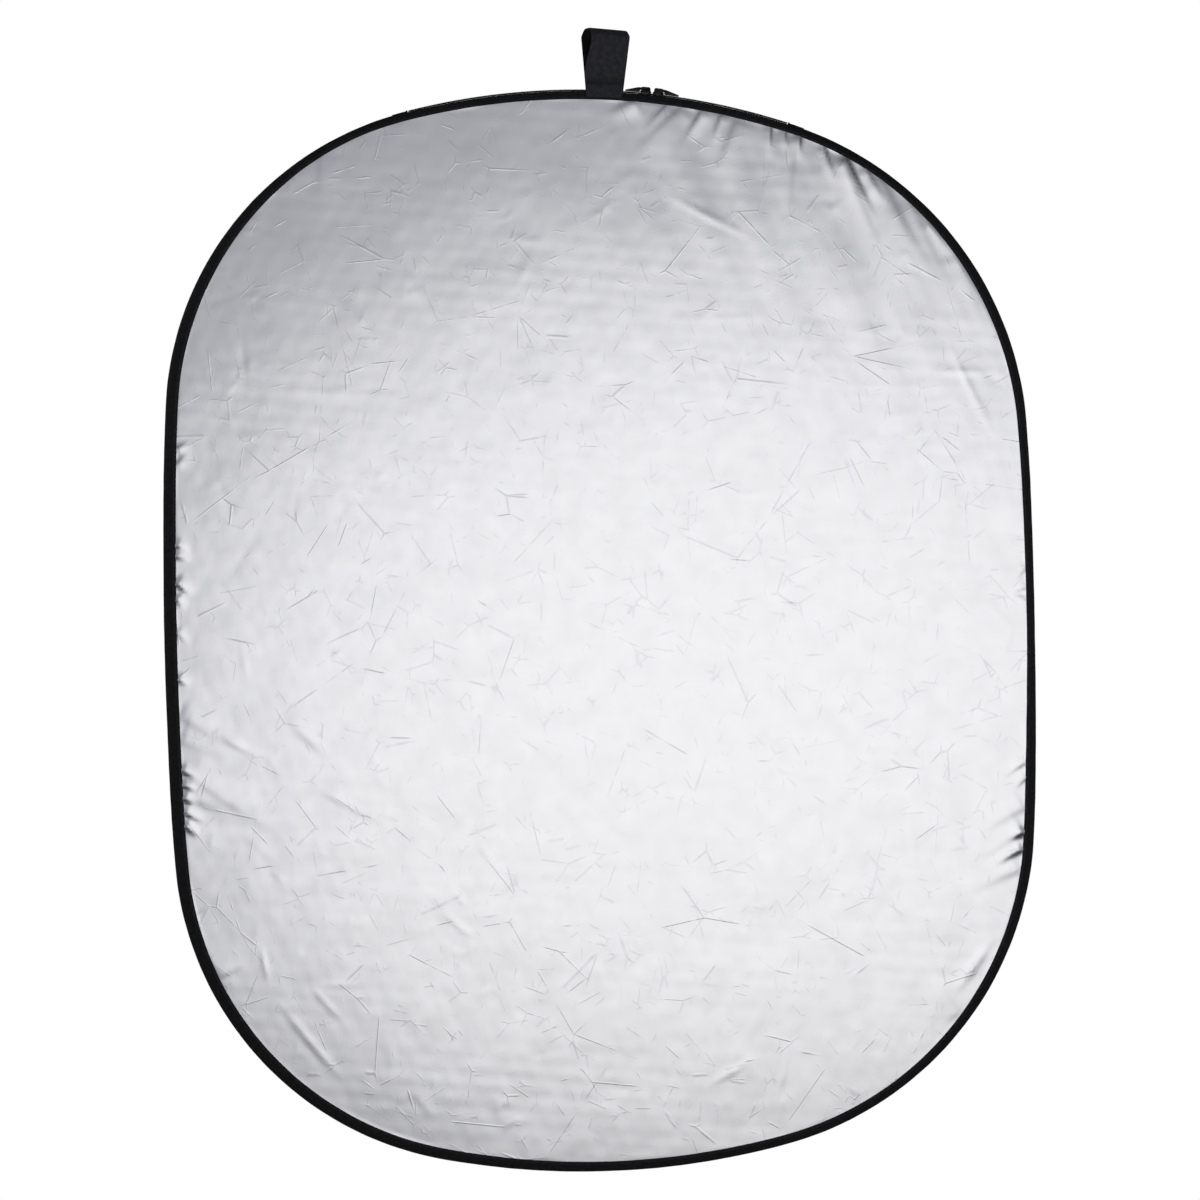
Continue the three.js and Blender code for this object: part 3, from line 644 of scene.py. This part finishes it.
def cloth_disc(name, level, depth, cells, facing, tucks=None, creases=(), seed=0):
    """One layer of cloth inside the rim. facing is 1 for the front of the disc and -1 for its back."""
    share, size, quads = cloth_grid(cells)
    front = max(facing, 0) * RIM_HALF
    border = rim_points(share, front, depth)[:, [0, 2]]
    flat = MIDDLE + size[:, None] * (border - MIDDLE)
    inset = (1 - size) * np.linalg.norm(border - MIDDLE, axis=1)
    if tucks is None:
        heights, painted_fold_shade = np.zeros((2, len(flat)))
    else:
        heights, painted_fold_shade = cloth_heights(flat, tucks, creases, seed)
    heights = np.clip(heights * smoothstep(inset, *SEWN_FLAT), *LIFT_LIMITS)
    points = np.stack([flat[:, 0], -facing * (level + heights), flat[:, 1]], 1)
    piece = mesh_object(name, points, (quads if facing > 0 else quads[:, ::-1]).tolist(), flat)
    # The painted fold shade goes into a mesh attribute, which the film material reads as its colour.
    piece.data.attributes.new(PAINTED_SHADE_MARK, "FLOAT", "POINT").data.foreach_set("value", painted_fold_shade)
    outline = rim_points(np.arange(SAMPLES) / SAMPLES, front, depth)[:, [0, 2]]
    return piece, outline


def back_tucks():
    """Tucks all round the back, which run more or less towards its centre."""
    tucks = []
    for k in range(14):
        bearing = 37 * k % 360
        tucks.append((bearing + 4, bearing + 180 + 35 * math.sin(k), 50 + 9 * k, 6 + k % 4, 1.3))
    return tucks


def make_cover_cloth():
    cover = (PANEL_FRONT, PANEL_DEPTH, CLOTH_CELLS)
    silver, outline = cloth_disc("silver_cover", *cover, 1, FRONT_TUCKS, FRONT_CREASES, 11)
    dress(silver, "silver")
    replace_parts(bends_with_disc(silver), "front_panel_upper", "front_panel_lower")
    gold, outline = cloth_disc("gold_cover", *cover, -1, back_tucks(), (), 47)
    dress(gold, "gold")
    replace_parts(bends_with_disc(gold), "back_panel_upper", "back_panel_lower")


# ---- Rim: gusset, bindings and stitches ------------------------------------------------------------------

COVER_WALL = 0.7 * MM
CROWN = (-15, 18.6) # headings where the zip tapes start and end
STITCH_PITCH = 3.3 * MM


def wrap_line(half, top, leg):
    """A band folded round the rim, from the end of its front leg to the end of its back leg."""
    side = [(half, leg), (0.95 * half, 0.6 * leg), (0.87 * half, top + 4 * MM), (0.66 * half, top + 1 * MM)]
    side += [(0.36 * half, top), (0, top)]
    return rounded(side + [(-front, depth) for front, depth in side[-2::-1]], 3)


def make_gusset():
    line = wrap_line(RIM_HALF - COVER_WALL / 2, COVER_WALL / 2, PANEL_DEPTH)
    section = outlined(line, COVER_WALL)
    piece = rim_band("cover_gusset", section, CROWN[1], CROWN[0], 4 * MM, 0.22 * MM, 5)
    dress(piece, "trim")
    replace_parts(bends_with_disc(piece), "gusset_upper_left", "gusset_upper_right", "gusset_lower")


def make_binding(name, facing, seed):
    """The folded tape over the seam between a cover panel and the gusset, with its row of stitches."""
    outer, inner = BINDING_DEPTHS
    middle = (outer + inner) / 2
    high = BINDING_FRONT - 0.2 * MM
    edges = PANEL_FRONT + 0.25 * MM
    top = [(high, outer + 1 * MM), (high, middle), (high, inner - 1 * MM)]
    line = rounded([(edges, outer), *top, (edges, inner)])
    section = outlined(line * (facing, 1), 0.4 * MM)[::facing]
    piece = rim_band(f"{name}_binding", section, None, None, 4 * MM, 0.12 * MM, seed)
    dress(piece, "binding")
    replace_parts(bends_with_disc(piece), f"{name}_binding_upper", f"{name}_binding_lower")
    shares = rim_run(None, None, STITCH_PITCH)
    along = around(edge_along, shares)
    along = np.stack([along[:, 0], 0 * shares, along[:, 1]], 1)
    places = rim_points(shares, facing * (BINDING_FRONT + 0.05 * MM), middle + 1.1 * MM)
    out = np.tile(facing * FRONT, (len(shares), 1)).astype(float)
    stitches = stitch_row(f"{name}_binding_stitches", places, along, out)
    dress(stitches, "thread")
    bends_with_disc(stitches)


# ---- Inner disc: hoop, channel and diffuser --------------------------------------------------------------

HOOP_DEPTH = 5.1 * MM
HOOP_THICKNESS = 1.2 * MM
HOOP_END_GAP = 0.02 # degrees each side of the ferrule's middle
CHANNEL_HEM = (13 * MM, 20 * MM)


def make_hoop():
    half, top = HOOP_HALF, HOOP_DEPTH
    bottom = top + HOOP_THICKNESS
    section = rounded([(half, top), (half, bottom), (-half, bottom), (-half, top)], 2, closed=True)
    piece = rim_band("spring_hoop", section, 180 + HOOP_END_GAP, 180 - HOOP_END_GAP, 6 * MM)
    dress(piece, "steel")
    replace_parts(bends_with_disc(piece), "hoop_upper", "hoop_lower_left", "hoop_lower_right")


def make_channel():
    """A tape folded over the hoop and sewn to itself at the hem that grips the diffuser."""
    half = CHANNEL_HALF - 0.7 * MM
    hem = 0.7 * MM
    pinch, end = CHANNEL_HEM
    side = [(hem, end), (hem, pinch), (half, 8 * MM), (half, 3.75 * MM)]
    line = rounded(side + [(-front, depth) for front, depth in side[::-1]], 2)
    piece = rim_band("hoop_channel", outlined(line, 0.5 * MM), None, None, 6 * MM)
    dress(piece, "diffuser")
    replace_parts(bends_with_disc(piece), "channel_upper", "channel_lower")


def make_diffuser():
    depth = CHANNEL_HEM[0] + 1.3 * MM
    piece, outline = cloth_disc("diffuser_disc", 0.0, depth, DIFFUSER_CELLS, 1)
    dress(piece, "diffuser")
    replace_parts(bends_with_disc(piece), "diffuser_upper", "diffuser_lower")


# ---- Zip -------------------------------------------------------------------------------------------------

ZIP_ENDS = (CROWN[0] + 0.7, CROWN[1] - 0.7)
TAPE_DEPTH = 1.4 * MM
TAPE_THICKNESS = 0.6 * MM
COIL_PITCH = 1.45 * MM
COIL_STEPS = 10 # points for each turn
COIL_WIRE = 0.32 * MM # half the thread's thickness
COIL_CENTRE = (1.6 * MM, -0.15 * MM)
COIL_REACH = (0.68 * MM, 0.95 * MM) # half-sizes of a turn
COIL_CORD = (0.4 * MM, 0.75 * MM) # half-sizes of the cord that the coil is wound round


def make_zip_tape(name, facing, seed):
    half, top = RIM_HALF - 0.35 * MM, TAPE_DEPTH + TAPE_THICKNESS / 2
    line = [(half, PANEL_DEPTH), (half, 7 * MM), (half, top + 1 * MM), (half - 1 * MM, top), (0.7 * MM, top)]
    section = outlined(rounded(line, 2) * (facing, 1), TAPE_THICKNESS)[::facing]
    piece = rim_band(f"zip_{name}_tape", section, *CROWN, 3 * MM, 0.15 * MM, seed)
    dress(piece, "zip")
    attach(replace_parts(piece, f"zip_tape_{name}"), "upper_half")


def make_zip_coil(name, facing):
    """A nylon thread wound along the edge of the tape."""
    first, last = (at_heading(end) for end in ZIP_ENDS)
    length = (last - first) % 1.0 * EDGE_LENGTH
    turns = round(length / COIL_PITCH)
    wound = np.linspace(0, turns * FULL_TURN, turns * COIL_STEPS)
    shares = first + wound / (turns * FULL_TURN) * length / EDGE_LENGTH
    swing = np.stack([np.cos(wound), np.sin(wound)], 1)
    middle = np.array(COIL_CENTRE) + swing * COIL_REACH
    path = rim_points(shares, facing * middle[:, 0], middle[:, 1])
    outer = rim_points(shares, facing * (middle + swing * MM)[:, 0], (middle + swing * MM)[:, 1])
    normal = (outer - path) / np.linalg.norm(outer - path, axis=1)[:, None]
    tangent = np.gradient(path, axis=0)
    side = np.cross(tangent, normal)
    side /= np.linalg.norm(side, axis=1)[:, None]
    angles = FULL_TURN * np.arange(6) / 6
    ring = normal[:, None] * np.cos(angles)[None, :, None] + side[:, None] * np.sin(angles)[None, :, None]
    piece = loft(f"zip_{name}_coil", path[:, None] + COIL_WIRE * ring)
    dress(piece, "coil")
    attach(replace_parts(piece, f"zip_coil_{name}"), "upper_half")
    corners = np.array([(-1, -1), (-1, 1), (1, 1), (1, -1)]) * COIL_CORD
    section = (rounded(corners + COIL_CENTRE, 2, True) * (facing, 1))[::facing]
    cord = rim_band(f"zip_{name}_cord", section, *ZIP_ENDS)
    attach(dress(cord, "coil"), "upper_half")


def make_patch(side, start, end, seed):
    """Cloth sewn over one end of the zip."""
    lift = COVER_WALL + 0.3 * MM
    line = wrap_line(RIM_HALF - COVER_WALL / 2 + lift, COVER_WALL / 2 - lift, BINDING_DEPTHS[0] - 0.5 * MM)
    piece = rim_band(f"zip_{side}_patch", outlined(line, COVER_WALL), start, end, 2 * MM, 0.15 * MM, seed)
    dress(piece, "trim")
    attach(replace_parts(piece, f"zip_patch_{side}"), "upper_half")


def make_patches():
    gap, angle = 0.18, 2.0
    make_patch("left", ZIP_ENDS[0] - gap - angle, ZIP_ENDS[0] - gap, 3)
    make_patch("right", ZIP_ENDS[1] + gap, ZIP_ENDS[1] + gap + angle, 4)


# ---- Hanging strap ---------------------------------------------------------------------------------------

STRAP_WIDTH = 50 * MM # at its foot, where it is gathered
STRAP_SPREAD = (10.4 * MM, 7 * MM) # how much further out the loop's left and right edges are at its top
STRAP_PLACES = 41 # points across the strap
STRAP_THICKNESS = 1.4 * MM
# All heights here are above the rim's outline.
STRAP_FOOT = -9.6 * MM
STRAP_FULL = 73 * MM # where the loop has its full width
SEAM_HEIGHT = 16.1 * MM # the line that the loop swings about
CROWN_HEIGHT = 83.6 * MM # inner face of the top of the loop, which is the frame's origin
LOOP_YAW = 20 # degrees that the loop is turned to one side
LOOP_YAW_FULL = 60 * MM # where it is turned all the way
# Half of the loop, seen along it: [front, up] in millimetres, from its foot to its top.
HALF_LOOP = [
    (7.4, -9.6), (7.4, 3), (6.6, 8.2), (1.6, 13), (0.9, 14.6), (0.9, 17.6), (2.6, 23), (9, 38), (15.5, 54),
    (20, 68), (20.6, 73), (20, 75.4), (18.4, 77), (11, 82.6), (7, 84.2), (3, 84.3),
]
LOOP_OPENING = np.array([(up, front) for front, up in HALF_LOOP if up < 74]).T * MM
LAP = [(-7.4, 39.5), (-8.9, 43), (-11, 48), (-12.2, 51)] # the webbing's end, sewn down inside the loop
SEAM_STITCHES = 9.5 * MM
STITCH_FRONT = 6.0 * MM + STRAP_THICKNESS / 2
STITCH_SPREAD = 22.5 * MM # how far the seam's stitches reach to each side


def on_strap(across, front, up):
    """A point of the strap, from its place across, front and up, turned as the top of the loop is."""
    rise = np.clip((up - SEAM_HEIGHT) / (LOOP_YAW_FULL - SEAM_HEIGHT), 0, 1)
    yaw = math.radians(LOOP_YAW) * np.sqrt(rise)
    widened = np.clip((up - STRAP_FOOT) / (STRAP_FULL - STRAP_FOOT), 0, 1)
    spread = np.where(across < 0, *STRAP_SPREAD) * widened
    opening = np.interp(up, *LOOP_OPENING)
    half = (STRAP_WIDTH / 2 + spread - opening * np.sin(yaw)) / np.cos(yaw)
    across = across / (STRAP_WIDTH / 2) * half
    turned = across * np.cos(yaw) + front * np.sin(yaw)
    facing = front * np.cos(yaw) - across * np.sin(yaw)
    return turned[..., None] * ACROSS + facing[..., None] * FRONT + (up - CROWN_HEIGHT)[..., None] * UP


def webbing(name, line, width):
    """Webbing that follows a line of [front, up] points, thinner along its two selvages."""
    line = np.asarray(line, float)
    along = np.gradient(line, axis=0)
    along /= np.linalg.norm(along, axis=1)[:, None]
    out = np.stack([along[:, 1], -along[:, 0]], 1)
    place = np.linspace(-1, 1, STRAP_PLACES)
    swell = STRAP_THICKNESS / 2 * np.sqrt(1 - place**14)
    across = np.concatenate([place, place[::-1]]) * width / 2
    lift = np.concatenate([swell, -swell[::-1]])
    front = line[:, :1] + out[:, :1] * lift
    up = line[:, 1:] + out[:, 1:] * lift
    return loft(name, on_strap(across + 0 * front, front, up))


def shade_inner_side(piece, look):
    """Gives the loop's inner side, the second half of each ring of points, another, darker look as painted shade.
    """
    piece.data.materials.append(LOOKS[look])
    for face in piece.data.polygons:
        place = min(corner % (2 * STRAP_PLACES) for corner in face.vertices)
        face.material_index = int(place >= STRAP_PLACES)


def swings_with_loop(piece):
    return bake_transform(piece)


def make_strap():
    half = np.array(HALF_LOOP) * MM
    line = rounded(np.vstack([half, (half * (-1, 1))[::-1]]), 3)
    piece = webbing("hanging_strap", line, STRAP_WIDTH)
    dress(piece, "webbing")
    # The loop's inner side is dressed in the black edging cloth as painted shade.
    shade_inner_side(piece, "trim")
    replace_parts(swings_with_loop(piece), "hanging_loop", "loop_leg_front", "loop_leg_back")
    lap = webbing("strap_lap", rounded(np.array(LAP) * MM, 1), STRAP_WIDTH - 2 * MM)
    dress(lap, "binding")
    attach(lap, "hanging_loop")


def make_strap_seams():
    """The seam across the two legs of the strap, where it is sewn to the rim."""
    across = np.linspace(-STITCH_SPREAD, STITCH_SPREAD, 16)
    up = np.full(len(across), SEAM_STITCHES)
    for name, facing in (("front", 1), ("back", -1)):
        front = np.full(len(across), facing * STITCH_FRONT)
        places = on_strap(across, front, up)
        ahead = on_strap(across + 1 * MM, front, up) - places
        ahead /= np.linalg.norm(ahead, axis=1)[:, None]
        out = np.tile(facing * FRONT, (len(across), 1))
        piece = stitch_row(f"strap_{name}_stitches", places, ahead, out, 2.4 * MM, 0.6 * MM)
        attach(dress(piece, "coil"), "upper_half")


# ---- Metal and moulded parts kept from the frame ---------------------------------------------------------


def polish(name, look, width):
    """Gives a CAD node rounded edges and its material."""
    node = frame["nodes"][name]
    weld = node.modifiers.new("weld", "WELD")
    weld.merge_threshold = 0.005 * MM
    bevel = node.modifiers.new("bevel", "BEVEL")
    bevel.width = width
    bevel.segments = 2
    bevel.limit_method = "ANGLE"
    bevel.harden_normals = True
    node.data.shade_smooth()
    node.data.materials.clear()
    node.data.materials.append(LOOKS[look])


def polish_hardware():
    for side in ("left", "right"):
        polish(f"zip_slider_{side}", "hardware", 0.25 * MM)
        polish(f"zip_pull_{side}", "hardware", 0.2 * MM)
        polish(f"zip_stop_{side}", "hardware", 0.15 * MM)
    polish("hoop_ferrule", "steel", 0.1 * MM)


# ---- Stage, light and camera -----------------------------------------------------------------------------

FLOOR_Z = -2.2
FLOOR_RADIUS = 3.6
FLOOR_SIDES = 96
CAMERA_DISTANCE = 6.0
CAMERA_Z = -0.7888
FRAME_WIDTH = 1.6625 # what the picture takes in at the disc


def make_floor():
    angles = FULL_TURN * np.arange(FLOOR_SIDES) / FLOOR_SIDES
    round_edge = FLOOR_RADIUS * np.array([np.cos(angles), np.sin(angles)])
    points = np.stack([*round_edge, np.full(FLOOR_SIDES, FLOOR_Z)], 1)
    floor = mesh_object("floor", points, [list(range(FLOOR_SIDES))])
    look = Look("floor_paint", (0.86, 0.86, 0.86), 0.7, space="Object")
    look.vary("Base Color", look.noise(2.0), (0.85, 0.85, 0.85), (0.88, 0.88, 0.88))
    floor.data.materials.append(look.material)


# The room's glow along the viewing line: how far a direction points away from the camera, 0 to 1, and its
# strength. It is brightest behind the camera, dark to the sides, and dark again straight behind the disc.
ROOM_GLOW = [
    (0.0, 0.36), (0.12, 0.3), (0.3, 0.1), (0.5, 0.04), (0.72, 0.2), (0.9, 0.28), (0.96, 0.05), (1.0, 0.04),
]
ROOM_COLOR = (0.88, 0.9, 1.0, 1)
# The glow fades towards overhead: how far up a direction points where that starts and ends, and what share
# of the glow there is before and after.
OVERHEAD = (0.3, 0.65, 1.0, 0.15)


def make_world():
    """White to the camera, and soft grey light for everything else."""
    world = bpy.data.worlds.new("studio")
    bpy.context.scene.world = world
    world.use_nodes = True
    nodes, links = world.node_tree.nodes, world.node_tree.links
    nodes.clear()
    split = nodes.new("ShaderNodeSeparateXYZ")
    links.new(nodes.new("ShaderNodeTexCoord").outputs["Generated"], split.inputs[0])
    depth = nodes.new("ShaderNodeMapRange")
    depth.inputs["From Min"].default_value = -1
    links.new(split.outputs["Y"], depth.inputs[0])
    glow = nodes.new("ShaderNodeValToRGB")
    ramp = glow.color_ramp.elements
    for place, strength in ROOM_GLOW[1:-1]:
        ramp.new(place).color = (strength, strength, strength, 1)
    for end, strength in ((0, ROOM_GLOW[0][1]), (-1, ROOM_GLOW[-1][1])):
        ramp[end].color = (strength, strength, strength, 1)
    links.new(depth.outputs[0], glow.inputs[0])
    overhead = nodes.new("ShaderNodeMapRange")
    overhead.interpolation_type = "SMOOTHSTEP"
    for socket, value in zip(overhead.inputs[1:5], OVERHEAD):
        socket.default_value = value
    links.new(split.outputs["Z"], overhead.inputs[0])
    strength = nodes.new("ShaderNodeMath")
    strength.operation = "MULTIPLY"
    links.new(glow.outputs[0], strength.inputs[0])
    links.new(overhead.outputs[0], strength.inputs[1])
    room = nodes.new("ShaderNodeBackground")
    room.inputs["Color"].default_value = ROOM_COLOR
    links.new(strength.outputs[0], room.inputs["Strength"])
    white = nodes.new("ShaderNodeBackground")
    white.inputs["Color"].default_value = (1, 1, 1, 1)
    mix = nodes.new("ShaderNodeMixShader")
    links.new(nodes.new("ShaderNodeLightPath").outputs["Is Camera Ray"], mix.inputs[0])
    links.new(room.outputs[0], mix.inputs[1])
    links.new(white.outputs[0], mix.inputs[2])
    links.new(mix.outputs[0], nodes.new("ShaderNodeOutputWorld").inputs[0])


def make_softbox(name, place, target, size, radiance, color=(1, 1, 1), shape="RECTANGLE"):
    """A light with an even glow, which the camera doesn't see."""
    light = bpy.data.lights.new(name, "AREA")
    light.shape = shape
    light.size, light.size_y = size
    area = size[0] * size[1] * (math.pi / 4 if shape == "ELLIPSE" else 1)
    light.energy = radiance * math.pi * area
    light.color = color
    made = bpy.data.objects.new(name, light)
    made.location = place
    made.rotation_euler = (Vector(target) - Vector(place)).to_track_quat("-Z", "Y").to_euler()
    made.visible_camera = False
    bpy.context.scene.collection.objects.link(made)


def make_lights():
    middle = (MIDDLE_X, 0, FOLD_Z)
    key = {"size": (2.16, 1.7), "radiance": 0.735, "color": (1, 0.99, 0.965), "shape": "ELLIPSE"}
    make_softbox("key_softbox", (0.23, -1.7, -0.975), (0.23, 0, -0.975), **key)
    make_softbox("back_softbox", (0, 2.4, -0.85), middle, (1.1, 1.0), 0.8)
    make_softbox("left_strip", (-1.7, -0.3, -0.3), middle, (0.4, 1.5), 2.0)
    make_softbox("right_strip", (1.7, -0.4, -0.7), middle, (0.3, 1.3), 2.0)


def make_camera():
    camera = bpy.data.objects.new("camera", bpy.data.cameras.new("camera"))
    camera.location = (MIDDLE_X, -CAMERA_DISTANCE, CAMERA_Z)
    camera.rotation_euler = (math.pi / 2, 0, 0)
    camera.data.lens = camera.data.sensor_width * CAMERA_DISTANCE / FRAME_WIDTH
    bpy.context.scene.collection.objects.link(camera)
    bpy.context.scene.camera = camera
    bpy.context.scene.view_settings.view_transform = "Standard"


# ---- Assembly --------------------------------------------------------------------------------------------

make_camera()
make_world()
make_lights()
make_floor()
make_hoop()
make_channel()
make_diffuser()
make_gusset()
make_cover_cloth()
make_binding("front", 1, 7)
make_binding("back", -1, 8)
make_zip_tape("front", 1, 21)
make_zip_tape("back", -1, 22)
make_zip_coil("front", 1)
make_zip_coil("back", -1)
make_patches()
make_strap()
make_strap_seams()
polish_hardware()
